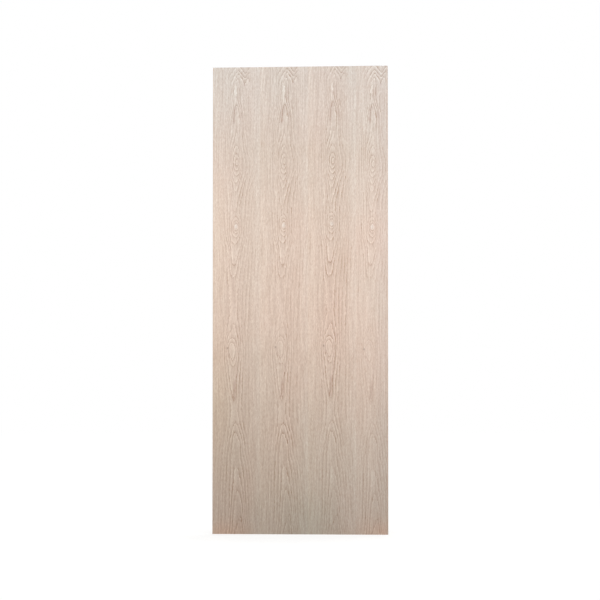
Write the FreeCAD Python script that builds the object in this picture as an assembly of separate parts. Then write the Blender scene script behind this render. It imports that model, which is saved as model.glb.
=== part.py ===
import FreeCAD, Part
import math
import os

# Flush hollow core door leaf, 762 x 2032 x 35 mm, faced on both sides with oak veneer.
# X runs from the hinge edge to the lock edge, Y from the front face to the back, Z up.
# The origin is on the hinge edge, at its foot, midway through the thickness.

# The leaf as a whole
door_width = 762.0
door_height = 2032.0

# The layers, from each face inwards
veneer_thickness = 0.5
skin_thickness = 3.0
core_thickness = 28.0
door_thickness = core_thickness + 2 * (skin_thickness + veneer_thickness)

# Solid oak edging on the two long edges, its outer corners eased by hand plane
edge_band_thickness = 2.0
arris_radius = 1.2

# Softwood frame between the skins
stile_width = 30.0
top_rail_height = 54.0
bottom_rail_height = 54.0

# Solid blocks beside both stiles, where a latch is bored
lock_block_width = 70.0
lock_block_length = 508.0
lock_block_centre_height = 965.0

# Saw kerfs through the rails, by which steam leaves the press
vent_count = 3
vent_width = 3.0
vent_depth = 6.0

# Veneer leaves, all cut to one width and laid the same way round
leaf_width = 210.0
first_leaf_joint = 206.0

# Expanded paper honeycomb: strips on edge, glued to each other along short flats
paper_thickness = 0.3
strip_height_wanted = 40.0
glue_flat = 26.0
slant_run = 24.0

# Levels through the thickness
core_front = -core_thickness / 2
core_back = core_thickness / 2
skin_front = core_front - skin_thickness
face_front = -door_thickness / 2
face_back = door_thickness / 2

# Places across the width
band_inner_left = edge_band_thickness
band_inner_right = door_width - edge_band_thickness
stile_inner_left = band_inner_left + stile_width
stile_inner_right = band_inner_right - stile_width
block_inner_left = stile_inner_left + lock_block_width
block_inner_right = stile_inner_right - lock_block_width

# Places up the height
block_foot = lock_block_centre_height - lock_block_length / 2
block_head = lock_block_centre_height + lock_block_length / 2
top_rail_foot = door_height - top_rail_height


def block(left, right, front, back, foot, head):
    """A square-edged piece between two places on each axis."""
    corner = FreeCAD.Vector(left, front, foot)
    return Part.makeBox(right - left, back - front, head - foot, corner)


def save(name, shapes):
    """Write one piece, or several like pieces that stay apart, as one file."""
    shape = shapes[0] if len(shapes) == 1 else Part.makeCompound(shapes)
    shape.exportStep("parts/" + name + ".step")


def edge_band(left, right, outer):
    """Solid edging over the stile and both skins, with its two outer arrises rounded."""
    band = block(left, right, face_front, face_back, 0, door_height)
    arrises = []
    for edge in band.Edges:
        box = edge.BoundBox
        upright = box.ZLength > door_height / 2
        if upright and abs(box.XMin - outer) < arris_radius / 2:
            arrises.append(edge)
    return band.makeFillet(arris_radius, arrises)


def rail(foot, head):
    """A rail between the stiles, with saw kerfs cut up through its front face."""
    body = block(stile_inner_left, stile_inner_right, core_front, core_back, foot, head)
    spacing = (stile_inner_right - stile_inner_left) / (vent_count + 1)
    for number in range(1, vent_count + 1):
        left = stile_inner_left + number * spacing - vent_width / 2
        kerf = block(left, left + vent_width, core_front, core_front + vent_depth, foot, head)
        body = body.cut(kerf)
    return body


def leaf_edges():
    """Where the veneer leaves start and end, counted from the left edge of a face."""
    edges = [band_inner_left]
    joint = first_leaf_joint
    while joint < band_inner_right:
        edges.append(joint)
        joint += leaf_width
    edges.append(band_inner_right)
    return edges


def strip_outline(left, right, foot, head, peaks_on_centre):
    """The zigzag edge of one paper strip, seen from the front, as a closed wire.

    The strip climbs from its foot to its head along a slant, runs level over a glue
    flat, and comes down again. The underside is the upper line moved in by the paper's
    thickness, so its corners shift sideways by the thickness times the tangent of half
    the slant's angle.
    """
    centre = door_width / 2
    period = 2 * (glue_flat + slant_run)
    rise = head - foot - paper_thickness
    shift = paper_thickness * math.tan(math.atan2(rise, slant_run) / 2)
    start = 0 if peaks_on_centre else 0.5
    first = math.floor((left - centre) / period) - 1
    last = math.ceil((right - centre) / period) + 1
    upper = []
    lower = []
    for count in range(first, last + 1):
        peak = centre + (count + start) * period
        valley = peak + period / 2
        for place, level, inward in ((peak, head, 1), (valley, foot + paper_thickness, -1)):
            for side in (-1, 1):
                corner = place + side * glue_flat / 2
                upper.append(FreeCAD.Vector(corner, core_front, level))
                under = corner - side * inward * shift
                lower.append(FreeCAD.Vector(under, core_front, level - paper_thickness))
    points = upper + lower[::-1]
    return Part.makePolygon(points + [points[0]])


def paper_strip(left, right, foot, head, peaks_on_centre):
    """One strip of paper standing on edge between the skins, cut off at both ends."""
    wire = strip_outline(left, right, foot, head, peaks_on_centre)
    strip = Part.Face(wire).extrude(FreeCAD.Vector(0, core_thickness, 0))
    room = block(left, right, core_front, core_back, foot, head)
    return strip.common(room).Solids[0]


def honeycomb():
    """All strips from the bottom rail to the top rail, as two lists by turns.

    The strips are shorter between the lock blocks. Each one touches only the strips
    right below and above it, at its glue flats.
    """
    zones = (
        (stile_inner_left, stile_inner_right, bottom_rail_height, block_foot),
        (block_inner_left, block_inner_right, block_foot, block_head),
        (stile_inner_left, stile_inner_right, block_head, top_rail_foot),
    )
    turns = ([], [])
    number = 0
    for left, right, foot, head in zones:
        count = max(1, round((head - foot) / strip_height_wanted))
        height = (head - foot) / count
        for row in range(count):
            low = foot + row * height
            strip = paper_strip(left, right, low, low + height, number % 2 == 0)
            turns[number % 2].append(strip)
            number += 1
    return turns


os.makedirs("parts", exist_ok=True)

save("hinge_edge_band", [edge_band(0, band_inner_left, 0)])
save("lock_edge_band", [edge_band(band_inner_right, door_width, door_width)])

stile_sides = {
    "hinge_stile": (band_inner_left, stile_inner_left),
    "lock_stile": (stile_inner_right, band_inner_right),
}
for name, (left, right) in stile_sides.items():
    save(name, [block(left, right, core_front, core_back, 0, door_height)])

save("bottom_rail", [rail(0, bottom_rail_height)])
save("top_rail", [rail(top_rail_foot, door_height)])

block_sides = {
    "hinge_side_lock_block": (stile_inner_left, block_inner_left),
    "lock_side_lock_block": (block_inner_right, stile_inner_right),
}
for name, (left, right) in block_sides.items():
    save(name, [block(left, right, core_front, core_back, block_foot, block_head)])

odd_strips, even_strips = honeycomb()
save("honeycomb_strips_odd", odd_strips)
save("honeycomb_strips_even", even_strips)

skin_levels = {"front_skin": skin_front, "back_skin": core_back}
for name, level in skin_levels.items():
    skin = block(band_inner_left, band_inner_right, level, level + skin_thickness, 0, door_height)
    save(name, [skin])

# Each face is laid out from its own left edge, so the back runs the other way along X
joints = leaf_edges()
back_level = face_back - veneer_thickness
for number, (start, end) in enumerate(zip(joints, joints[1:]), 1):
    front_leaf = block(start, end, face_front, face_front + veneer_thickness, 0, door_height)
    back_left = door_width - end
    back_right = door_width - start
    back_leaf = block(back_left, back_right, back_level, face_back, 0, door_height)
    save("front_veneer_leaf_" + str(number), [front_leaf])
    save("back_veneer_leaf_" + str(number), [back_leaf])
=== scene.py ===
import bpy
import numpy as np
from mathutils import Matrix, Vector


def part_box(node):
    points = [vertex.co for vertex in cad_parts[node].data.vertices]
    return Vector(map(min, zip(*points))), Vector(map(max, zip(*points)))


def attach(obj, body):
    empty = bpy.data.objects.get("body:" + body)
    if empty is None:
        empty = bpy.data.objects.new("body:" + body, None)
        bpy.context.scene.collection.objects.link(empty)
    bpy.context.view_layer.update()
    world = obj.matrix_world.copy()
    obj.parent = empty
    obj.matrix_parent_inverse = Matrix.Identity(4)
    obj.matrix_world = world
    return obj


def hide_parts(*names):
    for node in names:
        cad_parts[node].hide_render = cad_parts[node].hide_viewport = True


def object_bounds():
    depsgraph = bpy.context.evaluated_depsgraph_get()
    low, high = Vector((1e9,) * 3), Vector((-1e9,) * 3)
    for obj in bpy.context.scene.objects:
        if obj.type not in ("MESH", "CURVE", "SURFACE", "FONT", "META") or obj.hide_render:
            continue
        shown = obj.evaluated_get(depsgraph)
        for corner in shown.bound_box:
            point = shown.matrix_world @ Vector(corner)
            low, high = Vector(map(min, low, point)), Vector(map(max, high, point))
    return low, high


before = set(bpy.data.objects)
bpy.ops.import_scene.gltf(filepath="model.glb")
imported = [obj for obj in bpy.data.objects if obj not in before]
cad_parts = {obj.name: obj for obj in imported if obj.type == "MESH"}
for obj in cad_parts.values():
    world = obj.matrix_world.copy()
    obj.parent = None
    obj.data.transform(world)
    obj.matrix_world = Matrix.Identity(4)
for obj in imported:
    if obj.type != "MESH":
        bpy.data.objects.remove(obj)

cad_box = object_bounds()

# The softwood frame: two stiles the full height of the leaf, two rails between them and a
# lock block beside each stile. All are clear pine, sawn square and glued between the skins.
# Their sawn ends and the rails' outer edges show at the top and the foot of the leaf.
pine_pale = (0.66, 0.49, 0.31, 1)
pine_late = (0.45, 0.27, 0.14, 1)
pine_ring_width = 0.0034
pine_line_width = 0.0011
pine_ring_sway = 2.2
pine_roughness = 0.72
saw_pitch = 0.0016
saw_depth = 0.0002


def add(tree, kind, inputs=None, **settings):
    """One shader node. Each input is given a value, or the output that feeds it."""
    made = tree.nodes.new("ShaderNode" + kind)
    for name, value in settings.items():
        setattr(made, name, value)
    for name, value in (inputs or {}).items():
        if isinstance(value, bpy.types.NodeSocket):
            tree.links.new(value, made.inputs[name])
        else:
            made.inputs[name].default_value = value
    return made


def calc(tree, operation, *values):
    """The output of one maths node."""
    return add(tree, "Math", dict(enumerate(values)), operation=operation).outputs[0]


def fade(tree, value, start, end, low=0.0, high=1.0):
    """low before start, high after end, and a smooth S between them."""
    limits = {"Value": value, "From Min": start, "From Max": end, "To Min": low, "To Max": high}
    return add(tree, "MapRange", limits, interpolation_type="SMOOTHSTEP").outputs[0]


def mix(tree, share, first, second, how="MIX"):
    """Two colours mixed, the second by the given share."""
    inputs = {0: share, 6: first, 7: second}
    return add(tree, "Mix", inputs, data_type="RGBA", blend_type=how).outputs[2]


def vector(tree, operation, first, second):
    """The vector output of one vector maths node."""
    return add(tree, "VectorMath", {0: first, 1: second}, operation=operation).outputs[0]


def start_group(name, inputs, outputs):
    """An empty node group with named sockets, and the sockets at its two ends."""
    group = bpy.data.node_groups.new(name, "ShaderNodeTree")
    for label, kind, value in inputs:
        made = group.interface.new_socket(label, in_out="INPUT", socket_type="NodeSocket" + kind)
        made.default_value = value
    for label in outputs:
        group.interface.new_socket(label, in_out="OUTPUT", socket_type="NodeSocketFloat")
    ends = group.nodes.new("NodeGroupInput"), group.nodes.new("NodeGroupOutput")
    return group, ends[0].outputs, ends[1].inputs


def use(tree, group, inputs):
    """A node group placed in a material; returns its outputs."""
    return add(tree, "Group", inputs, node_tree=group).outputs


def growth_rings():
    """Early and late wood from a running ring number n, and one random shade per ring.

    With f the fraction of n, and both widths in metres, early wood is
    exp(-f * ring width / line width) behind a short smooth start, and late wood is the same
    of 1 - f, so that wide and narrow rings are drawn with equally fine lines.
    """
    widths = [("Ring Width", "Float", 0.004), ("Line Width", "Float", 0.002)]
    inputs = [("Ring Number", "Float", 0.0)] + widths
    group, given, made = start_group("growth rings", inputs, ["Early", "Late", "Shade"])
    part = calc(group, "FRACT", given["Ring Number"])
    lines = calc(group, "DIVIDE", given["Ring Width"], given["Line Width"])
    after = calc(group, "EXPONENT", calc(group, "MULTIPLY", calc(group, "MULTIPLY", part, lines), -1.0))
    rest = calc(group, "SUBTRACT", 1.0, part)
    before = calc(group, "EXPONENT", calc(group, "MULTIPLY", calc(group, "MULTIPLY", rest, lines), -1.0))
    whole_rings = calc(group, "FLOOR", given["Ring Number"])
    shade = add(group, "TexWhiteNoise", {"W": whole_rings}, noise_dimensions="1D")
    group.links.new(calc(group, "MULTIPLY", after, fade(group, part, 0.0, 0.05)), made["Early"])
    group.links.new(before, made["Late"])
    group.links.new(shade.outputs["Value"], made["Shade"])
    return group


def long_fibres():
    """Noise drawn out along the grain: a place in metres times the counts per metre."""
    inputs = [("Place", "Vector", (0, 0, 0)), ("Across", "Float", 900.0), ("Along", "Float", 8.0)]
    group, given, made = start_group("long fibres", inputs, ["Fibre"])
    counts = add(group, "CombineXYZ", {0: given["Across"], 1: given["Across"], 2: given["Along"]})
    place = vector(group, "MULTIPLY", given["Place"], counts.outputs[0])
    noise = add(group, "TexNoise", {"Vector": place, "Scale": 1.0, "Detail": 3.0, "Roughness": 0.6})
    group.links.new(noise.outputs[0], made["Fibre"])
    return group


rings_group = growth_rings()
fibres_group = long_fibres()


def new_material(name):
    """An empty material with its Principled shader, and the tree to build it in."""
    material = bpy.data.materials.new(name)
    material.use_nodes = True
    tree = material.node_tree
    shader = next(n for n in tree.nodes if n.type == "BSDF_PRINCIPLED")
    return material, tree, shader


def finish_surface(tree, shader, colour, roughness, height, depth):
    """Joins colour, roughness and a bump of the given depth in metres to the shader."""
    bump = add(tree, "Bump", {"Height": height, "Distance": depth, "Strength": 1.0})
    tree.links.new(colour, shader.inputs["Base Color"])
    tree.links.new(roughness, shader.inputs["Roughness"])
    tree.links.new(bump.outputs[0], shader.inputs["Normal"])


def pine(name, order, pith):
    """Sawn pine whose grain runs along the last axis of order, in rings round its pith.

    The ring number is the distance from the pith over the ring width, plus a slow sway, so
    the same wood shows arcs on its ends and lines on its sides.
    """
    material, tree, shader = new_material(name)
    here = add(tree, "TexCoord").outputs["Object"]
    axes = add(tree, "SeparateXYZ", {0: here}).outputs
    turned = add(tree, "CombineXYZ", {i: axes[axis] for i, axis in enumerate(order)}).outputs[0]
    place = vector(tree, "SUBTRACT", turned, pith)
    flat = vector(tree, "MULTIPLY", place, (1, 1, 0))
    reach = add(tree, "VectorMath", {0: flat}, operation="LENGTH").outputs["Value"]
    sway = use(tree, fibres_group, {"Place": place, "Across": 26.0, "Along": 1.7})["Fibre"]
    straight = calc(tree, "DIVIDE", reach, pine_ring_width)
    number = calc(tree, "ADD", straight, calc(tree, "MULTIPLY", sway, pine_ring_sway))
    widths = {"Ring Width": pine_ring_width, "Line Width": pine_line_width}
    rings = use(tree, rings_group, {"Ring Number": number} | widths)
    fibre = use(tree, fibres_group, {"Place": place, "Across": 1500.0, "Along": 30.0})["Fibre"]
    blotch = use(tree, fibres_group, {"Place": place, "Across": 60.0, "Along": 3.0})["Fibre"]
    late = calc(tree, "MULTIPLY", rings["Late"], 0.75)
    tint = calc(tree, "ADD", late, calc(tree, "MULTIPLY", fibre, 0.5))
    tint = calc(tree, "ADD", calc(tree, "SUBTRACT", tint, 0.2), calc(tree, "MULTIPLY", blotch, 0.3))
    colour = mix(tree, fade(tree, tint, 0.0, 1.0), pine_pale, pine_late)
    saw_place = vector(tree, "MULTIPLY", here, (1 / saw_pitch, 40.0, 1 / saw_pitch))
    saw = add(tree, "TexNoise", {"Vector": saw_place, "Scale": 1.0, "Detail": 1.0}).outputs[0]
    height = calc(tree, "ADD", calc(tree, "MULTIPLY", saw, 0.6), calc(tree, "MULTIPLY", fibre, 0.4))
    rough = calc(tree, "ADD", pine_roughness, calc(tree, "MULTIPLY", fibre, 0.15))
    finish_surface(tree, shader, colour, rough, height, saw_depth)
    return material


def dress(node, material):
    """Gives a CAD node its finish, through the slot that the node already has."""
    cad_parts[node].material_slots[0].material = material


stile_pith = {"hinge_stile": (0.052, -0.031, 0.0), "lock_stile": (0.705, 0.044, 0.0)}
for stile, pith in stile_pith.items():
    dress(stile, pine(stile, (0, 1, 2), pith))
rail_pith = {"top_rail": (0.06, 1.93, 0.0), "bottom_rail": (-0.05, 0.09, 0.0)}
for rail, pith in rail_pith.items():
    dress(rail, pine(rail, (1, 2, 0), pith))
block_pith = {"hinge_side_lock_block": (0.04, 0.06, 0.0), "lock_side_lock_block": (0.72, -0.05, 0.0)}
for block, pith in block_pith.items():
    dress(block, pine(block, (0, 1, 2), pith))

# The honeycomb: strips of brown kraft paper on edge, glued to each other along short flats
# and drawn open like an accordion. It fills the leaf between the stiles and the rails.
kraft_light = (0.46, 0.31, 0.18, 1)
kraft_dark = (0.30, 0.19, 0.10, 1)
pulp_clouds = 90.0
pulp_hairs = 1100.0
pulp_relief = 0.0001


def kraft_paper():
    """Unbleached paper: cloudy pulp with short fibres lying every way."""
    material, tree, shader = new_material("kraft paper")
    here = add(tree, "TexCoord").outputs["Object"]
    cloud = add(tree, "TexNoise", {"Vector": here, "Scale": pulp_clouds, "Detail": 4.0}).outputs[0]
    hairs = add(tree, "TexVoronoi", {"Vector": here, "Scale": pulp_hairs}).outputs["Distance"]
    tint = calc(tree, "MULTIPLY", calc(tree, "ADD", cloud, calc(tree, "MULTIPLY", hairs, 0.4)), 0.8)
    colour = mix(tree, fade(tree, tint, 0.2, 0.8), kraft_light, kraft_dark)
    finish_surface(tree, shader, colour, fade(tree, cloud, 0.2, 0.8, 0.75, 0.95), hairs, pulp_relief)
    return material


paper = kraft_paper()
for strips in ("honeycomb_strips_odd", "honeycomb_strips_even"):
    dress(strips, paper)

# The skins: 3 mm hardboard, pressed from brown wood fibre and denser towards its faces.
# Only the sawn edges show, as a dark line between the veneer and the frame.
board_brown = (0.27, 0.165, 0.095, 1)
board_dark = (0.13, 0.07, 0.036, 1)
board_specks = (500.0, 1600.0, 500.0)
board_clouds = 35.0
board_relief = 0.00015


def hardboard():
    """Pressed wood fibre: specks of bark and pale fibre in a brown ground."""
    material, tree, shader = new_material("hardboard")
    here = add(tree, "TexCoord").outputs["Object"]
    drawn = vector(tree, "MULTIPLY", here, board_specks)
    specks = add(tree, "TexNoise", {"Vector": drawn, "Scale": 1.0, "Detail": 3.0}).outputs[0]
    cloud = add(tree, "TexNoise", {"Vector": here, "Scale": board_clouds, "Detail": 2.0}).outputs[0]
    tint = calc(tree, "ADD", calc(tree, "MULTIPLY", specks, 0.7), calc(tree, "MULTIPLY", cloud, 0.3))
    colour = mix(tree, fade(tree, tint, 0.3, 0.7), board_brown, board_dark)
    finish_surface(tree, shader, colour, fade(tree, specks, 0.3, 0.7, 0.7, 0.9), specks, board_relief)
    return material


board = hardboard()
for skin in ("front_skin", "back_skin"):
    dress(skin, board)

# The veneer: four leaves of crown-cut oak on each face, sliced one after the other from one
# log and laid side by side the same way round, so that the flame repeats and slowly changes.
# Each is half a millimetre thick, glued to the skin edge to edge, sanded and sealed matt.
oak_pale = (0.822, 0.706, 0.618, 1)
oak_line = (0.424, 0.266, 0.183, 1)
oak_pore = (0.52, 0.31, 0.21, 1)
oak_roughness = 0.5
oak_line_width = 0.0034
oak_relief = 0.00004
door_width = cad_box[1][0]
joint_ease = 0.00012
columns, rows = 60, 440
# The skin dips a little between the paper walls, in one wave per cell both ways
telegraph_depth = 0.00004
telegraph_across, telegraph_along = 0.1, 0.08
# Each slice's depth in the log and, for the four on a face, what was trimmed off its left edge
# and how far up it was laid
slice_depth = 0.0006
trimmed_off = (0.006, 0.0, 0.0, 0.035)
slice_lift = (0.0, 0.004, 0.010, -0.006)
# How clearly each of the four shows its rings up its height, as pairs of (height, share), and
# how much of that is lost in the plain flanks beside the flame
slice_clear = (
    ((0.62, 1.02), (0.95, 1.46), (1.12, 1.00), (1.45, 0.62), (1.62, 0.84), (1.95, 1.02)),
    ((0.12, 0.80), (0.45, 1.12), (0.79, 0.76), (0.95, 0.67), (1.62, 0.69), (1.78, 1.16)),
    ((0.12, 0.64), (0.45, 0.72), (0.95, 1.80), (1.28, 0.76), (1.62, 1.00), (1.78, 0.88)),
    ((0.12, 0.76), (0.45, 0.34), (0.95, 0.28), (1.28, 0.74), (1.45, 0.56), (1.78, 0.94), (1.95, 1.35)),
)
flame_middle, flame_half, flank_fade = 0.100, 0.040, 0.025
flank_loss = 0.35
mark_share = 0.55
# The slow waves that move each slice across and along: reach, length and start per slice
sway_reach, sway_length, sway_start = 0.0015, 0.16, 2.1
slip_reach, slip_length, slip_start = 0.004, 0.11, 1.7

# The growth lines that the blade cut in the log: the ring that starts at each, how clearly it
# shows, and its points (from the left edge of a full leaf, height) in millimetres. Lines that
# end where they start are closed eyes; V shapes stand under an eye and arches over the foot.
growth_lines = (
    (12, 0.0, ((64, 1905), (67, 1950), (75, 1985))),
    (12, 0.5, ((86, 2008), (98, 2026), (108, 2036))),
    (12, 0.5, ((128, 2030), (140, 2013), (148, 2004), (156, 2016), (166, 2030))),
    (11, 0.0, ((74, 1860), (77, 1905), (81, 1945), (87, 1972))),
    (11, 1.0, ((93, 1982), (101, 1998), (109, 2010), (117, 2019), (126, 2010), (135, 1998),
        (142, 1990), (147, 1984), (153, 1993), (161, 2006))),
    (10, 0.0, ((82, 1870), (86, 1910), (90, 1940))),
    (10, 0.9, ((98, 1962), (105, 1978), (112, 1993), (118, 2003), (125, 1994), (132, 1983),
        (139, 1970), (144, 1955), (149, 1968), (156, 1984))),
    (10, 0.0, ((165, 1960), (168, 1900), (172, 1830), (176, 1760))),
    (9, 0.4, ((91, 1935), (98, 1952), (107, 1972), (115, 1985), (119, 1972), (121, 1950))),
    (9, 0.9, ((120, 1938), (121, 1905), (122, 1885), (128, 1862), (134, 1830))),
    (9, 0.4, ((136, 1800), (137, 1740), (142, 1700), (148, 1668), (156, 1640), (161, 1612),
        (159, 1590))),
    (9, 0.8, ((155, 1572), (145, 1545), (136, 1515), (131, 1480), (122, 1445), (117, 1405),
        (119, 1388), (125, 1362), (126, 1340))),
    (9, 0.4, ((124, 1312), (117, 1288))),
    (9, 1.1, ((112, 1278), (107, 1269), (102, 1260), (95, 1266), (85, 1276))),
    (9, 0.8, ((79, 1305), (78, 1345), (81, 1385), (82, 1425), (80, 1470))),
    (9, 0.4, ((75, 1520), (69, 1580), (67, 1640), (69, 1700), (74, 1760), (78, 1800), (85, 1840))),
    (9, 0.6, ((91, 1875), (92, 1905), (91, 1935))),
    (8, 1.0, ((95, 1845), (99, 1880), (103, 1900), (107, 1913), (111, 1898), (114, 1880), (121, 1858),
        (129, 1835), (132, 1810))),
    (8, 0.4, ((131, 1760), (132, 1720), (136, 1680), (141, 1640), (147, 1600), (144, 1568))),
    (8, 0.9, ((134, 1535), (122, 1490), (110, 1450), (105, 1420), (99, 1404), (93, 1420), (88, 1450),
        (83, 1490))),
    (8, 0.4, ((77, 1540), (73, 1600), (73, 1660), (77, 1710), (83, 1760), (90, 1810))),
    (7, 0.8, ((104, 1854), (109, 1868), (115, 1856), (118, 1830), (121, 1795), (119, 1750),
        (118, 1720))),
    (7, 0.4, ((122, 1690), (129, 1650), (133, 1610), (130, 1570))),
    (7, 0.9, ((122, 1545), (113, 1517), (108, 1499), (102, 1491), (96, 1499), (91, 1518))),
    (7, 0.9, ((85, 1550), (79, 1590), (77, 1640), (79, 1676), (84, 1700), (91, 1720), (97, 1740),
        (100, 1770), (99, 1800), (100, 1830))),
    (6, 0.7, ((110, 1758), (113, 1740), (115, 1710), (120, 1680), (125, 1650), (127, 1615),
        (125, 1580), (117, 1547), (110, 1533), (103, 1527), (97, 1534), (91, 1550), (85, 1575),
        (83, 1610), (85, 1650), (91, 1676), (97, 1700), (103, 1718), (107, 1738), (110, 1758))),
    (5, 1.1, ((123, 1605), (119, 1575), (112, 1560), (105, 1557), (98, 1562), (92, 1580), (87, 1605),
        (87, 1630), (90, 1648), (95, 1665), (100, 1679), (107, 1685), (113, 1679))),
    (5, 0.5, ((119, 1665), (123, 1640), (124, 1620))),
    (4, 0.9, ((107, 1648), (113, 1642), (118, 1628), (119, 1610), (117, 1592), (112, 1581),
        (106, 1578), (100, 1582), (96, 1594), (94, 1612), (97, 1632), (102, 1643), (107, 1648))),
    (3, 1.1, ((111, 1626), (114, 1620), (115, 1612), (114, 1604), (110, 1600), (105, 1603),
        (103, 1613), (106, 1622), (111, 1626))),
    (8, 0.4, ((120, 1352), (122, 1335), (119, 1315), (115, 1303))),
    (8, 1.0, ((110, 1296), (103, 1290), (97, 1295))),
    (8, 0.4, ((90, 1305), (86, 1325), (86, 1348), (90, 1366))),
    (8, 0.9, ((96, 1375), (103, 1380), (109, 1376), (115, 1365))),
    (7, 0.9, ((112, 1316), (104, 1309), (97, 1316))),
    (7, 0.2, ((92, 1328), (92, 1345), (97, 1358), (105, 1364), (113, 1357), (117, 1343), (116, 1326))),
    (6, 1.2, ((105, 1350), (110, 1347), (114, 1339), (113, 1330), (109, 1324), (104, 1322), (99, 1325),
        (96, 1333), (96, 1341), (100, 1348), (105, 1350))),
    (10, 0.3, ((178, 1700), (179, 1640), (172, 1570))),
    (10, 0.8, ((156, 1520), (148, 1485), (142, 1440), (138, 1400), (138, 1370))),
    (10, 0.4, ((138, 1350), (135, 1300), (124, 1250))),
    (10, 1.1, ((113, 1215), (107, 1190), (102, 1172), (97, 1165), (92, 1171), (88, 1190), (85, 1215))),
    (10, 0.9, ((82, 1250), (75, 1275), (69, 1310), (69, 1360), (69, 1440))),
    (10, 0.4, ((65, 1500), (60, 1600))),
    (11, 0.6, ((163, 1500), (157, 1440))),
    (11, 0.3, ((151, 1360), (142, 1290), (128, 1235), (116, 1190))),
    (11, 0.9, ((109, 1150), (106, 1128), (101, 1117), (94, 1112), (87, 1116), (83, 1130), (79, 1160),
        (78, 1200), (77, 1240), (70, 1268))),
    (12, 0.5, ((138, 1205), (126, 1150), (120, 1120), (116, 1070), (111, 1010), (109, 955), (113, 925),
        (120, 880), (124, 840), (126, 800), (127, 760))),
    (12, 0.9, ((124, 720), (120, 680), (117, 640), (117, 595), (113, 565), (114, 520), (118, 490),
        (125, 462), (132, 435), (140, 400))),
    (12, 0.5, ((146, 340), (156, 300), (164, 240), (170, 160), (174, 60))),
    (12, 0.7, ((62, 1255), (67, 1225), (69, 1180), (70, 1120), (75, 1070), (79, 1020), (82, 975),
        (82, 950))),
    (12, 0.4, ((77, 920), (70, 880), (62, 840), (58, 800), (60, 750), (66, 700), (72, 650),
        (78, 600))),
    (12, 0.7, ((82, 560), (82, 520), (80, 480), (75, 440))),
    (12, 0.3, ((66, 390), (58, 330), (54, 250), (50, 120))),
    (15, 0.7, ((172, 1215), (168, 1100), (164, 1040), (161, 1000), (162, 960), (160, 930),
        (157, 890))),
    (11, 0.9, ((93, 894), (98, 903), (102, 895), (106, 878), (111, 860))),
    (11, 0.4, ((116, 835), (119, 800), (116, 765))),
    (11, 1.0, ((112, 735), (110, 702), (105, 682), (103, 650), (104, 615), (98, 584), (91, 598),
        (87, 625), (82, 652), (78, 690))),
    (11, 0.4, ((74, 735), (68, 770), (63, 810), (69, 845), (80, 870), (88, 880))),
    (10, 0.8, ((91, 850), (99, 845), (107, 830), (111, 805), (110, 775), (104, 752), (99, 735),
        (93, 727), (87, 738), (83, 755), (76, 778), (69, 790), (67, 806), (71, 823), (81, 843),
        (91, 850))),
    (9, 0.4, ((88, 832), (97, 826), (103, 808), (102, 785), (96, 762), (91, 757), (85, 766), (77, 787),
        (75, 805), (79, 823), (88, 832))),
    (11, 0.5, ((62, 60), (65, 180), (67, 260), (71, 330), (78, 385))),
    (11, 1.1, ((85, 425), (90, 452), (95, 472), (103, 479), (110, 471), (115, 455), (122, 432),
        (129, 405), (131, 350))),
    (11, 0.7, ((141, 315), (150, 270), (156, 200), (160, 120))),
    (10, 0.8, ((74, 50), (79, 120), (82, 200), (85, 280), (87, 350))),
    (10, 1.2, ((91, 400), (96, 428), (102, 435), (109, 424), (117, 411), (123, 380), (123, 345),
        (126, 310))),
    (10, 0.7, ((134, 270), (142, 210), (147, 150), (152, 80))),
    (9, 1.0, ((85, 40), (88, 110), (91, 155), (95, 205), (99, 250), (101, 280), (106, 289), (113, 278),
        (121, 250), (127, 222), (132, 188), (140, 152))),
    (8, 0.8, ((94, 30), (98, 100), (102, 145), (108, 171), (117, 191), (122, 172), (128, 145),
        (135, 105), (140, 50))),
    (7, 1.0, ((104, 6), (110, 25), (117, 48), (119, 64), (124, 73), (130, 65), (132, 45), (137, 6))),
)
# The ring in the heart of each eye and of the foot's arches, as (ring, across, height), and one
# in the plain flank
eye_rings = ((2.3, 110, 1612), (5.2, 105, 1336), (8.6, 89, 800), (6.4, 122, 10), (12.6, 50, 1000))
grain_stretch = 3.0
point_spacing = 6.0
line_softness = 0.02
clear_reach = 8.0
flattest_slope = 0.01
batch = 4000
sheet_steps = (2.5, 4.0)
sheet_across = np.arange(-10.0, 226.0, sheet_steps[0])
sheet_heights = np.arange(-20.0, 2060.0, sheet_steps[1])
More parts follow.
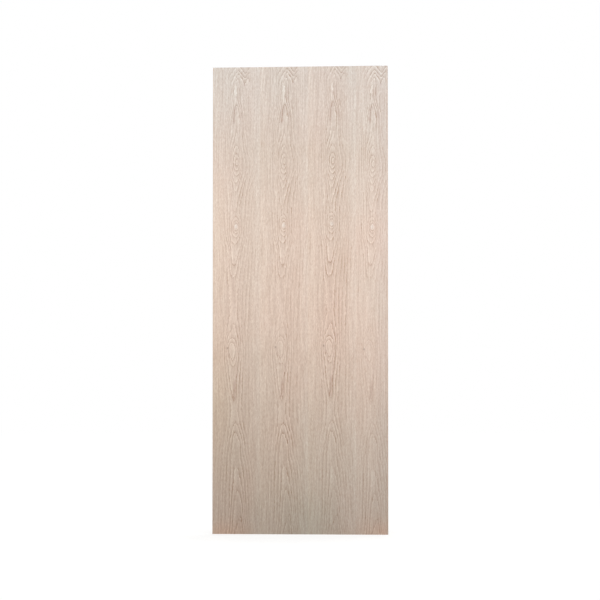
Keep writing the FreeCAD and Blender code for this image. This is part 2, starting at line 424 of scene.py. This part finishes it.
# Marks that every slice repeats: pale wood in the hearts of the flames, and dark strokes where
# the blade ran nearly along a ring. Each is (across, height, half width, half height) in
# millimetres and its tone, 1 for the palest and -1 for the darkest.
log_marks = (
    (122, 2001, 3.5, 6, 0.8), (117, 1984, 3.0, 10, 0.5), (130, 1980, 3.0, 12, 0.4),
    (156, 1972, 3.0, 9, 0.7), (152, 1945, 3.5, 12, 0.5), (107, 1952, 4.5, 14, 0.7),
    (102, 1925, 4.0, 20, 0.7), (98, 1895, 3.5, 18, 0.5), (106, 1904, 4.0, 9, -0.7),
    (121, 1915, 3.0, 22, -0.5), (144, 1957, 3.5, 7, -0.8), (132, 1820, 4.0, 14, -0.5),
    (147, 1850, 8.0, 45, 0.4), (105, 1853, 5.0, 12, -0.8), (99, 1828, 4.0, 22, -0.9),
    (97, 1796, 5.5, 14, -0.8), (109, 1815, 4.0, 28, 0.5), (107, 1760, 3.5, 20, 0.4),
    (106, 1647, 3.5, 4, -0.7), (145, 1690, 7.0, 30, 0.3), (91, 1222, 6.0, 25, 0.45),
    (106, 1218, 4.5, 24, 0.5), (97, 1169, 6.5, 5, -0.8), (96, 1075, 4.0, 40, -0.3),
    (103, 1025, 3.5, 22, -0.3), (102, 935, 6.0, 16, 0.35), (90, 817, 11.0, 14, 0.5),
    (94, 790, 7.0, 18, 0.5), (77, 780, 4.0, 9, -0.4), (130, 848, 6.0, 16, -0.25),
    (111, 722, 3.5, 19, -0.6), (107, 691, 4.0, 13, -0.8), (102, 655, 4.5, 18, -0.8),
    (99, 625, 5.5, 22, -0.8), (96, 598, 5.0, 13, -0.8), (75, 668, 3.5, 18, 0.5),
    (95, 535, 9.0, 35, 0.35), (97, 350, 3.5, 60, 0.5), (114, 388, 4.5, 18, 0.5),
    (106, 260, 4.0, 28, 0.5), (124, 66, 4.0, 6, -0.5), (118, 45, 3.5, 14, -0.4),
    (104, 8, 5.0, 10, -0.5),
)


def spaced_points(points):
    """A line's points, evenly spaced along it with heights counted at 1 / grain_stretch."""
    x, y = np.array(points, float).T
    run = np.concatenate([[0], np.cumsum(np.hypot(np.diff(x), np.diff(y) / grain_stretch))])
    stops = np.linspace(0, run[-1], int(np.ceil(run[-1] / point_spacing)) + 1)
    evenly = np.stack([np.interp(stops, run, x), np.interp(stops, run, y)], axis=-1)
    return evenly[:-1] if points[0] == points[-1] else evenly


def spans(first, second):
    """Squared distances in centimetres between two sets of points, heights at 1 / grain_stretch."""
    step = first[:, None, :] - second[None, :, :]
    return np.sum((step / (10.0, 10.0 * grain_stretch)) ** 2, axis=-1)


def bent_plate(squared):
    """The bending shape of a thin plate, d^2 log d, from squared distances."""
    return 0.5 * squared * np.log(np.maximum(squared, 1e-12))


def fit_rings():
    """The thin plate through all growth lines: its points, weights and how clear each is.

    The weights solve [K T; T' 0] w = [rings; 0], with K the bending shape between all pairs
    of points, eased on its diagonal by line_softness, and T the rows (1, across, height).
    """
    points = [spaced_points(line) for ring, clear, line in growth_lines]
    counts = [len(part) for part in points]
    known = np.concatenate(points + [np.array(eye_rings)[:, 1:]])
    drawn_rings = np.repeat([ring for ring, clear, line in growth_lines], counts)
    rings = np.concatenate([drawn_rings, np.array(eye_rings)[:, 0]])
    drawn_clear = np.repeat([clear for ring, clear, line in growth_lines], counts)
    clear = np.concatenate([drawn_clear, np.zeros(len(eye_rings))])
    bend = bent_plate(spans(known, known)) + line_softness * np.eye(len(known))
    plane = np.concatenate([np.ones((len(known), 1)), known], axis=1)
    whole = np.block([[bend, plane], [plane.T, np.zeros((3, 3))]])
    weights = np.linalg.solve(whole, np.concatenate([rings, np.zeros(3)]))
    return known, weights, clear


def draw_log_sheet():
    """A full leaf as a sheet of places, with its ring, ring width, clearness and mark.

    Clearness is the sum of g * clear over the plate's points, over the sum of g plus 1,
    with g = exp(-d^2 / 2) and d the distance in clear_reach. The width in sight, in metres,
    is 1 over the slope of the ring number. A mark is its tone times exp of minus the
    squared distance in its half sizes.
    """
    points, weights, clear = fit_rings()
    x, y = np.meshgrid(sheet_across, sheet_heights)
    places = np.stack([x.ravel(), y.ravel()], axis=-1)
    ring, clearness = np.empty(len(places)), np.empty(len(places))
    for start in range(0, len(places), batch):
        part = slice(start, start + batch)
        squared = spans(places[part], points)
        ring[part] = bent_plate(squared) @ weights[:-3] + weights[-3] + places[part] @ weights[-2:]
        near = np.exp(-squared * (10.0 / clear_reach) ** 2 / 2)
        clearness[part] = near @ clear / (near.sum(axis=1) + 1.0)
    ring = ring.reshape(x.shape)
    rise, run = np.gradient(ring, sheet_heights, sheet_across)
    width = 0.001 / np.maximum(np.hypot(rise, run), flattest_slope)
    mark = np.zeros(x.shape)
    for across, height, half_width, half_height, tone in log_marks:
        mark += tone * np.exp(-((x - across) / half_width) ** 2 - ((y - height) / half_height) ** 2)
    return np.stack([ring, width, clearness.reshape(x.shape), mark], axis=-1)


log_sheet = draw_log_sheet()


def read_sheet(across, heights):
    """The log sheet between its places, by straight interpolation both ways."""
    col = np.clip((across - sheet_across[0]) / sheet_steps[0], 0, len(sheet_across) - 1.001)
    row = np.clip((heights - sheet_heights[0]) / sheet_steps[1], 0, len(sheet_heights) - 1.001)
    i, j = row.astype(int), col.astype(int)
    down, over = (row - i)[..., None], (col - j)[..., None]
    low = log_sheet[i, j] * (1 - over) + log_sheet[i, j + 1] * over
    high = log_sheet[i + 1, j] * (1 - over) + log_sheet[i + 1, j + 1] * over
    return low * (1 - down) + high * down


def place_in_log(across, heights, number):
    """Where each point of a slice lay in its log, and what the wood was like there.

    Each slice is swayed and slipped by reach * sin(height / length + start * number). How
    clearly its rings show is multiplied by s, which slice_clear gives for the height, less
    flank_loss outside the flame, and the tone of its marks by mark_share * (1 + s).
    """
    of_four = (number - 1) % 4
    raised = heights - slice_lift[of_four]
    swayed = across + sway_reach * np.sin(raised / sway_length + sway_start * number)
    slipped = raised + slip_reach * np.sin(raised / slip_length + slip_start * number)
    grown = read_sheet(swayed * 1000.0, slipped * 1000.0)
    aside = np.clip((np.abs(across - flame_middle) - flame_half) / flank_fade, 0.0, 1.0)
    seen = np.interp(raised, *np.transpose(slice_clear[of_four])) * (1.0 - flank_loss * aside)
    grown[..., 2] *= seen
    grown[..., 3] *= mark_share + mark_share * seen
    place = np.stack([across, np.full_like(across, number * slice_depth), raised], axis=-1)
    return {"log_place": place, "ring_course": grown[..., :3], "log_mark": grown[..., 3:]}


def leaf_mesh(name, node, number, from_left, outward):
    """One veneer leaf: a closed profile carried up the height of the leaf.

    The profile runs along the outer face from the leaf's left edge to its right edge, as
    seen from in front of that face, with both arrises eased, and back along the skin. The
    outer face dips as such a skin does between the paper walls, by the telegraph depth times
    (1 + sin(2 pi across / telegraph_across) * sin(2 pi height / telegraph_along)) / 2.
    """
    low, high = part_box(node)
    start, end = sorted((from_left(low.x), from_left(high.x)))
    thick = high.y - low.y
    face = np.linspace(start + joint_ease, end - joint_ease, columns)
    along = np.concatenate([[start], face, [end, end, start]])
    inward = np.concatenate([[joint_ease], np.zeros(columns), [joint_ease, thick, thick]])
    s, height = np.meshgrid(along, np.linspace(low.z, high.z, rows))
    on_face = slice(1, columns + 1)
    depth = np.repeat(inward[None, :], rows, axis=0)
    waves = 2 * np.pi * s / telegraph_across, 2 * np.pi * height / telegraph_along
    dip = np.sin(waves[0]) * np.sin(waves[1]) + 1
    depth[:, on_face] += telegraph_depth * dip[:, on_face] / 2
    outer = low.y if outward < 0 else high.y
    x = s if outward < 0 else door_width - s
    points = np.stack([x, outer - outward * depth, height], axis=-1).reshape(-1, 3)

    count = len(along)
    j, i = np.meshgrid(np.arange(count), np.arange(rows - 1))
    after = (j + 1) % count
    here, above = i * count, (i + 1) * count
    quads = np.stack([here + j, here + after, above + after, above + j], axis=-1)
    foot = list(range(count))[::-1]
    head = [(rows - 1) * count + k for k in range(count)]
    mesh = bpy.data.meshes.new(name)
    mesh.from_pydata(points.tolist(), [], quads.reshape(-1, 4).tolist() + [foot, head])

    # The map named OFBake: the outer face fills it, the rest is a margin
    face_u, face_v = (0.012, 0.95), (0.02, 0.98)
    cap_height, head_v = 0.014, 0.984
    u = np.concatenate([[0.01], np.linspace(*face_u, columns), [0.955, 0.96, 0.985, 0.99]])
    v = np.linspace(*face_v, rows)
    us = np.stack([u[j], u[j + 1], u[j + 1], u[j]], axis=-1).reshape(-1)
    vs = np.stack([v[i], v[i], v[i + 1], v[i + 1]], axis=-1).reshape(-1)
    cap_u = u[:-1]
    cap_v = inward / thick
    us = np.concatenate([us, cap_u[::-1], cap_u])
    vs = np.concatenate([vs, 0.002 + cap_height * cap_v[::-1], head_v + cap_height * cap_v])
    layer = mesh.uv_layers.new(name="OFBake")
    layer.uv.foreach_set("vector", np.stack([us, vs], axis=-1).astype(np.float32).ravel())

    own_start = start - trimmed_off[(number - 1) % 4]
    grown = place_in_log(s[:, on_face] - own_start, height[:, on_face], number)
    for label, values in grown.items():
        all_round = np.pad(values, ((0, 0), (1, 3), (0, 0)), mode="edge")
        kind, field = ("FLOAT", "value") if values.shape[-1] == 1 else ("FLOAT_VECTOR", "vector")
        stored = mesh.attributes.new(label, kind, "POINT")
        stored.data.foreach_set(field, all_round.astype(np.float32).ravel())
    mesh.update()
    return mesh


pore_counts = (1900.0, 1900.0, 75.0)
pore_limit, early_pores = 0.60, 0.14


def open_pores():
    """Short open vessels: noise above pore_limit, less early_pores times the early wood."""
    inputs = [("Place", "Vector", (0, 0, 0)), ("Early", "Float", 0.5)]
    group, given, made = start_group("open pores", inputs, ["Pore"])
    drawn = vector(group, "MULTIPLY", given["Place"], pore_counts)
    noise = add(group, "TexNoise", {"Vector": drawn, "Scale": 1.0, "Detail": 1.0}).outputs[0]
    limit = calc(group, "SUBTRACT", pore_limit, calc(group, "MULTIPLY", given["Early"], early_pores))
    over = calc(group, "SUBTRACT", noise, limit)
    group.links.new(fade(group, over, 0.0, 0.06), made["Pore"])
    return group


def soft_spot():
    """1 at a centre, falling off as exp of minus the squared distance in spot sizes."""
    inputs = [(label, "Vector", (0, 0, 0)) for label in ("Place", "Centre")]
    group, given, made = start_group("soft spot", inputs + [("Size", "Vector", (1, 1, 1))], ["Spot"])
    off = vector(group, "SUBTRACT", given["Place"], given["Centre"])
    scaled = vector(group, "DIVIDE", off, given["Size"])
    far = add(group, "VectorMath", {0: scaled, 1: scaled}, operation="DOT_PRODUCT").outputs["Value"]
    group.links.new(calc(group, "EXPONENT", calc(group, "MULTIPLY", far, -1.0)), made["Spot"])
    return group


pores_group = open_pores()
spot_group = soft_spot()


def tinted(tree, share, colour, tint):
    """The colour with a share of it multiplied by a tint."""
    return mix(tree, share, colour, mix(tree, 1.0, colour, tint, "MULTIPLY"))


def spotted(tree, colour, place, spots):
    """The colour multiplied by each spot's tint where the spot lies."""
    for centre, size, tint in spots:
        spot = use(tree, spot_group, {"Place": place, "Centre": centre, "Size": size})["Spot"]
        colour = tinted(tree, spot, colour, tint)
    return colour


# Marks of the log, as (across, through, along), size and tint: the white heart of the middle
# eye, the pin knot of the lower one, and the full height of a leaf the darker belt to the right
# of its flame and its paler left edge
small_marks = (
    ((0.105, 0.0, 1.336), (0.0060, 1.0, 0.0095), (1.12, 1.26, 1.38, 1)),
    ((0.069, 0.0, 0.806), (0.0032, 1.0, 0.0045), (0.56, 0.48, 0.46, 1)),
    ((0.138, 0.0, 1.000), (0.0280, 9.0, 9.0000), (0.975, 0.966, 0.962, 1)),
    ((0.020, 0.0, 1.000), (0.0250, 9.0, 9.0000), (1.022, 1.024, 1.024, 1)),
)
pale_mark = (1.11, 1.16, 1.18, 1)
dark_mark = (0.77, 0.66, 0.62, 1)
# Slow changes of tone over the whole door, the same on both faces, as (across, through, up), size and tint.
# The three that darken the middle of the foot are painted shade, where the lamps light the foot less; the
# rest lighten, darken or tint patches of the face.
face_tones_and_painted_foot_shade = (
    ((0.70, 0.0, 1.000), (0.085, 1.0, 3.000), (1.045, 1.060, 1.075, 1)),
    ((0.07, 0.0, 1.850), (0.095, 1.0, 0.550), (1.050, 1.065, 1.080, 1)),
    ((0.02, 0.0, 1.300), (0.055, 1.0, 0.350), (1.070, 1.060, 1.045, 1)),
    ((0.56, 0.0, 1.300), (0.300, 1.0, 0.400), (0.955, 0.955, 0.955, 1)),
    ((0.05, 0.0, 0.770), (0.085, 1.0, 0.200), (1.045, 1.050, 1.060, 1)),
    ((0.20, 0.0, 0.120), (0.280, 1.0, 0.450), (0.990, 0.995, 0.975, 1)),
    ((0.62, 0.0, 0.150), (0.300, 1.0, 0.500), (1.015, 1.040, 1.045, 1)),
    ((0.03, 0.0, 0.000), (0.110, 1.0, 0.055), (1.100, 0.980, 0.920, 1)),
    ((0.75, 0.0, 0.000), (0.100, 1.0, 0.060), (1.100, 0.980, 0.920, 1)),
    ((0.44, 0.0, 0.060), (0.160, 1.0, 0.120), (0.940, 0.980, 0.970, 1)),
    ((0.30, 0.0, 0.040), (0.300, 1.0, 0.110), (0.950, 0.960, 0.970, 1)),
    ((0.52, 0.0, 1.000), (0.060, 1.0, 0.240), (1.000, 0.965, 0.955, 1)),
    ((0.02, 0.0, 0.600), (0.070, 1.0, 0.300), (0.980, 0.970, 0.920, 1)),
    ((0.40, 0.0, 0.550), (0.700, 1.0, 0.800), (0.999, 1.010, 0.999, 1)),
    ((0.75, 0.0, 1.100), (0.035, 1.0, 1.100), (0.985, 1.000, 1.030, 1)),
    ((0.40, 0.0, 1.665), (0.420, 1.0, 0.055), (0.960, 0.950, 0.935, 1)),
    ((0.57, 0.0, 1.190), (0.030, 1.0, 0.100), (0.960, 0.935, 0.915, 1)),
    ((0.49, 0.0, 0.960), (0.030, 1.0, 0.070), (0.970, 0.955, 0.945, 1)),
    ((0.57, 0.0, 0.130), (0.050, 1.0, 0.100), (1.030, 1.045, 1.065, 1)),
)


# How far the noises move the ring lines, in rings
sway_rings, ragged_rings = 0.5, 0.60
# The tone that each part of the grain adds, and the tones of the palest and the darkest wood
line_least, line_gain, late_share = 0.15, 1.45, 0.75
shade_tone, fine_tone, streak_tone = 0.07, 2.25, 1.95
palest, darkest = -0.9, 1.3
pore_share = 0.45
sapwood_tint = (1.030, 1.055, 1.070, 1)
outer_tint = (1.030, 1.045, 1.045, 1)
# The cool cast painted on the top of the face, standing for the overhead light's sheen
painted_cool_sheen_tint = (0.960, 1.015, 1.050, 1)
rosy_tint = (1.012, 0.990, 0.982, 1)
olive_tint = (0.988, 1.000, 0.995, 1)
cloud_counts = (4.0, 4.0, 1.7)


def centred(tree, noise, reach):
    """A noise counted from its middle, 0.5, and times its reach."""
    return calc(tree, "MULTIPLY", calc(tree, "SUBTRACT", noise, 0.5), reach)


def oak_veneer():
    """Crown-cut oak, drawn from where each point lay in the log and the ring it lay in.

    The tone is (early - late_share * late) * clearness, with clearness the leaf's own times
    a streaky noise, plus a shade per ring and two noises along the grain, fine and streaked.
    """
    material, tree, shader = new_material("oak veneer")
    place = add(tree, "Attribute", attribute_name="log_place").outputs["Vector"]
    sides = add(tree, "SeparateXYZ", {0: place}).outputs
    course = add(tree, "Attribute", attribute_name="ring_course").outputs["Vector"]
    ring, in_sight, clear = add(tree, "SeparateXYZ", {0: course}).outputs
    here = add(tree, "TexCoord").outputs["Object"]

    sway = use(tree, fibres_group, {"Place": place, "Across": 30.0, "Along": 5.0})["Fibre"]
    ragged = use(tree, fibres_group, {"Place": place, "Across": 260.0, "Along": 50.0})["Fibre"]
    bent = centred(tree, sway, sway_rings)
    bent = calc(tree, "ADD", bent, centred(tree, ragged, ragged_rings))
    number = calc(tree, "ADD", ring, bent)
    widths = {"Ring Width": in_sight, "Line Width": oak_line_width}
    rings = use(tree, rings_group, {"Ring Number": number} | widths)

    streak = use(tree, fibres_group, {"Place": place, "Across": 290.0, "Along": 7.0})["Fibre"]
    fine = use(tree, fibres_group, {"Place": place, "Across": 430.0, "Along": 85.0})["Fibre"]
    pore = use(tree, pores_group, {"Place": place, "Early": rings["Early"]})["Pore"]
    strength = calc(tree, "ADD", line_least, calc(tree, "MULTIPLY", clear, line_gain))
    strength = calc(tree, "MULTIPLY", strength, fade(tree, streak, 0.3, 0.7, 0.5, 1.4))
    ring_part = calc(tree, "SUBTRACT", rings["Early"], calc(tree, "MULTIPLY", rings["Late"], late_share))
    ring_part = calc(tree, "MULTIPLY", ring_part, strength)
    shade_part = centred(tree, rings["Shade"], shade_tone)
    fine_part = centred(tree, fine, fine_tone)
    streak_part = centred(tree, streak, streak_tone)
    rings_tone = calc(tree, "ADD", ring_part, shade_part)
    tone = calc(tree, "ADD", rings_tone, calc(tree, "ADD", fine_part, streak_part))
    tone = add(tree, "MapRange", {0: tone, 1: palest, 2: darkest}).outputs[0]
    colour = mix(tree, tone, oak_pale, oak_line)
    colour = mix(tree, calc(tree, "MULTIPLY", pore, pore_share), colour, oak_pore)

    # The right margin of every leaf is sapwood, paler and greyer, and the left edge a little so.
    # Towards the top all of it turns cooler: painted sheen, the cast of the cool overhead light.
    colour = tinted(tree, fade(tree, sides[0], 0.168, 0.202), colour, sapwood_tint)
    colour = tinted(tree, fade(tree, sides[0], 0.042, 0.000), colour, outer_tint)
    colour = tinted(tree, fade(tree, sides[2], 1.30, 2.05), colour, painted_cool_sheen_tint)
    cloud_place = vector(tree, "MULTIPLY", here, cloud_counts)
    cloud = add(tree, "TexNoise", {"Vector": cloud_place, "Scale": 1.0, "Detail": 2.0}).outputs[0]
    rosy = mix(tree, 1.0, colour, rosy_tint, "MULTIPLY")
    olive = mix(tree, 1.0, colour, olive_tint, "MULTIPLY")
    colour = mix(tree, fade(tree, cloud, 0.35, 0.65), rosy, olive)
    mark = add(tree, "Attribute", attribute_name="log_mark").outputs["Fac"]
    dark = calc(tree, "MAXIMUM", calc(tree, "MULTIPLY", mark, -1.0), 0.0)
    colour = tinted(tree, calc(tree, "MAXIMUM", mark, 0.0), colour, pale_mark)
    colour = tinted(tree, dark, colour, dark_mark)
    colour = spotted(tree, colour, place, small_marks)
    # The face's slow tones, with the painted shade at the foot
    colour = spotted(tree, colour, here, face_tones_and_painted_foot_shade)

    rough = calc(tree, "ADD", oak_roughness - 0.06, calc(tree, "MULTIPLY", fine, 0.12))
    rough = calc(tree, "ADD", rough, calc(tree, "MULTIPLY", pore, 0.2))
    raised = calc(tree, "SUBTRACT", calc(tree, "MULTIPLY", fine, 0.35), calc(tree, "MULTIPLY", pore, 0.65))
    finish_surface(tree, shader, colour, rough, raised, oak_relief)
    return material


veneer = oak_veneer()


def lay_leaf(side, number, slice_number, from_left, outward):
    """Makes one leaf, in place of its CAD node; from_left turns x into its place on the face."""
    node = f"{side}_veneer_leaf_{number}"
    mesh = leaf_mesh(node + "_grain", node, slice_number, from_left, outward)
    mesh.materials.append(veneer)
    leaf = bpy.data.objects.new(node + "_grain", mesh)
    bpy.context.scene.collection.objects.link(leaf)
    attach(leaf, "root")
    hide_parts(node)


for leaf_number in range(1, 5):
    lay_leaf("front", leaf_number, leaf_number, lambda x: x, -1)
    lay_leaf("back", leaf_number, leaf_number + 4, lambda x: door_width - x, 1)

# The edge bands: two strips of straight-grained oak, 2 mm thick, glued over the stiles and
# the edges of both skins and planed flush, with the long corners eased.
band_pale = (0.70, 0.545, 0.425, 1)
band_line = (0.50, 0.355, 0.265, 1)
band_rings = 330.0
band_ring_width, band_line_width = 0.003, 0.0012
band_relief = 0.00008


def band_oak():
    """Quarter-cut oak: fine upright lines, with the ring number band_rings * (y + 0.3 x).

    A slow sway of up to three rings keeps the lines from being ruled.
    """
    material, tree, shader = new_material("edge band oak")
    place = add(tree, "TexCoord").outputs["Object"]
    sides = add(tree, "SeparateXYZ", {0: place}).outputs
    slanted = calc(tree, "ADD", sides[1], calc(tree, "MULTIPLY", sides[0], 0.3))
    slope = calc(tree, "MULTIPLY", slanted, band_rings)
    sway = use(tree, fibres_group, {"Place": place, "Across": 40.0, "Along": 1.6})["Fibre"]
    number = calc(tree, "ADD", slope, calc(tree, "MULTIPLY", sway, 3.0))
    widths = {"Ring Width": band_ring_width, "Line Width": band_line_width}
    rings = use(tree, rings_group, {"Ring Number": number} | widths)
    fine = use(tree, fibres_group, {"Place": place, "Across": 800.0, "Along": 9.0})["Fibre"]
    pore = use(tree, pores_group, {"Place": place, "Early": rings["Early"]})["Pore"]
    tint = calc(tree, "ADD", calc(tree, "MULTIPLY", rings["Early"], 0.6), calc(tree, "SUBTRACT", fine, 0.4))
    colour = mix(tree, fade(tree, tint, -0.1, 1.0), band_pale, band_line)
    colour = mix(tree, calc(tree, "MULTIPLY", pore, 0.4), colour, oak_pore)
    rough = calc(tree, "ADD", oak_roughness, calc(tree, "MULTIPLY", fine, 0.15))
    raised = calc(tree, "SUBTRACT", calc(tree, "MULTIPLY", fine, 0.35), calc(tree, "MULTIPLY", pore, 0.65))
    finish_surface(tree, shader, colour, rough, raised, band_relief)
    return material


banding = band_oak()
for band in ("hinge_edge_band", "lock_edge_band"):
    dress(band, banding)

# The studio: a white floor and a white surround that only the camera sees as pure white, with
# large soft lamps in front of and behind the door, a smaller one at each edge, and the
# surround's own even light.
door_middle = door_width / 2
floor_reach = 40.0
floor_grey = (0.34, 0.34, 0.335, 1)
floor_roughness = 0.9
floor_glow = (0.67, 0.91)
pool_centre = (door_middle, 0.0, 0.0)
pool_edges = (0.3, 2.1)
surround_level = 0.28
white = (1, 1, 1, 1)
warm_light, cool_light, plain_light = (1.0, 0.95, 0.92), (0.86, 0.94, 1.0), (1.0, 1.0, 1.0)


def seen_as_white(tree):
    """1 for what the camera, a mirror or clear glass sees, and 0 for the light that falls."""
    path = add(tree, "LightPath").outputs
    seen = calc(tree, "MAXIMUM", path["Is Camera Ray"], path["Is Glossy Ray"])
    return calc(tree, "MAXIMUM", seen, path["Is Transmission Ray"])


def studio_floor():
    """A flat sheet under the door, seen as white less the shadow that falls on it.

    The glow that the camera sees tops up the sheet's own light to white, so it is lower in
    the pool of light round the door.
    """
    corners = [(x * floor_reach, y * floor_reach, 0) for x, y in ((-1, -1), (1, -1), (1, 1), (-1, 1))]
    mesh = bpy.data.meshes.new("studio_floor")
    mesh.from_pydata(corners, [], [(0, 1, 2, 3)])
    material, tree, shader = new_material("studio floor")
    seen = seen_as_white(tree)
    shader.inputs["Base Color"].default_value = floor_grey
    shader.inputs["Roughness"].default_value = floor_roughness
    shader.inputs["Specular IOR Level"].default_value = 0.0
    shader.inputs["Emission Color"].default_value = white
    here = add(tree, "TexCoord").outputs["Object"]
    away = add(tree, "VectorMath", {0: here, 1: pool_centre}, operation="DISTANCE").outputs["Value"]
    glow = calc(tree, "MULTIPLY", seen, fade(tree, away, *pool_edges, *floor_glow))
    tree.links.new(glow, shader.inputs["Emission Strength"])
    mesh.materials.append(material)
    floor = bpy.data.objects.new("studio_floor", mesh)
    bpy.context.scene.collection.objects.link(floor)


def surround():
    """Even light from all round, pure white where the camera or a reflection sees it."""
    world = bpy.data.worlds.new("surround")
    bpy.context.scene.world = world
    world.use_nodes = True
    tree = world.node_tree
    background = next(n for n in tree.nodes if n.type == "BACKGROUND")
    level = fade(tree, seen_as_white(tree), 0.0, 1.0, surround_level, 1.0)
    background.inputs["Color"].default_value = white
    tree.links.new(level, background.inputs["Strength"])


def soft_lamp(name, place, aim, width, height, power, colour):
    """A large soft box at a place, turned to an aim; the camera doesn't see it."""
    light = bpy.data.lights.new(name, "AREA")
    light.shape = "RECTANGLE"
    light.size = width
    light.size_y = height
    light.energy = power
    light.color = colour
    lamp = bpy.data.objects.new(name, light)
    bpy.context.scene.collection.objects.link(lamp)
    lamp.location = place
    lamp.rotation_euler = (Vector(aim) - Vector(place)).to_track_quat("-Z", "Y").to_euler()
    lamp.visible_camera = False


studio_floor()
surround()
for side, facing in (("front", -1.0), ("back", 1.0)):
    place, aim = (0.56, facing * 1.2, 1.15), (0.50, 0.0, 0.91)
    soft_lamp(side + "_box", place, aim, width=2.2, height=0.9, power=13.4, colour=warm_light)
    place, aim = (0.40, facing * 1.3, 2.6), (0.40, 0.0, 2.00)
    soft_lamp(side + "_upper_box", place, aim, width=2.4, height=0.8, power=20.5, colour=cool_light)
for side, beside in (("hinge", -2.4), ("lock", 3.16)):
    place, aim = (beside, 0.0, 1.2), (door_middle, 0.0, 1.0)
    soft_lamp(side + "_side_fill", place, aim, width=0.8, height=1.6, power=14.0, colour=plain_light)

# The camera: a 150 mm lens eleven metres off, a little to the right of the door and below its
# middle, and aimed so that the door stands in the picture as it does in the photo.
camera_place = Vector((1.341, -10.816, 0.552))
camera_aim = Vector((0.3815, -0.0175, 1.0142))
lens_length = 150.0
sensor_width = 36.0
sight_limit = 200.0

camera_data = bpy.data.cameras.new("camera")
camera_data.lens = lens_length
camera_data.sensor_width = sensor_width
camera_data.clip_end = sight_limit
camera = bpy.data.objects.new("camera", camera_data)
bpy.context.scene.collection.objects.link(camera)
camera.location = camera_place
camera.rotation_euler = (camera_aim - camera_place).to_track_quat("-Z", "Y").to_euler()
bpy.context.scene.camera = camera
bpy.context.scene.view_settings.view_transform = "Standard"
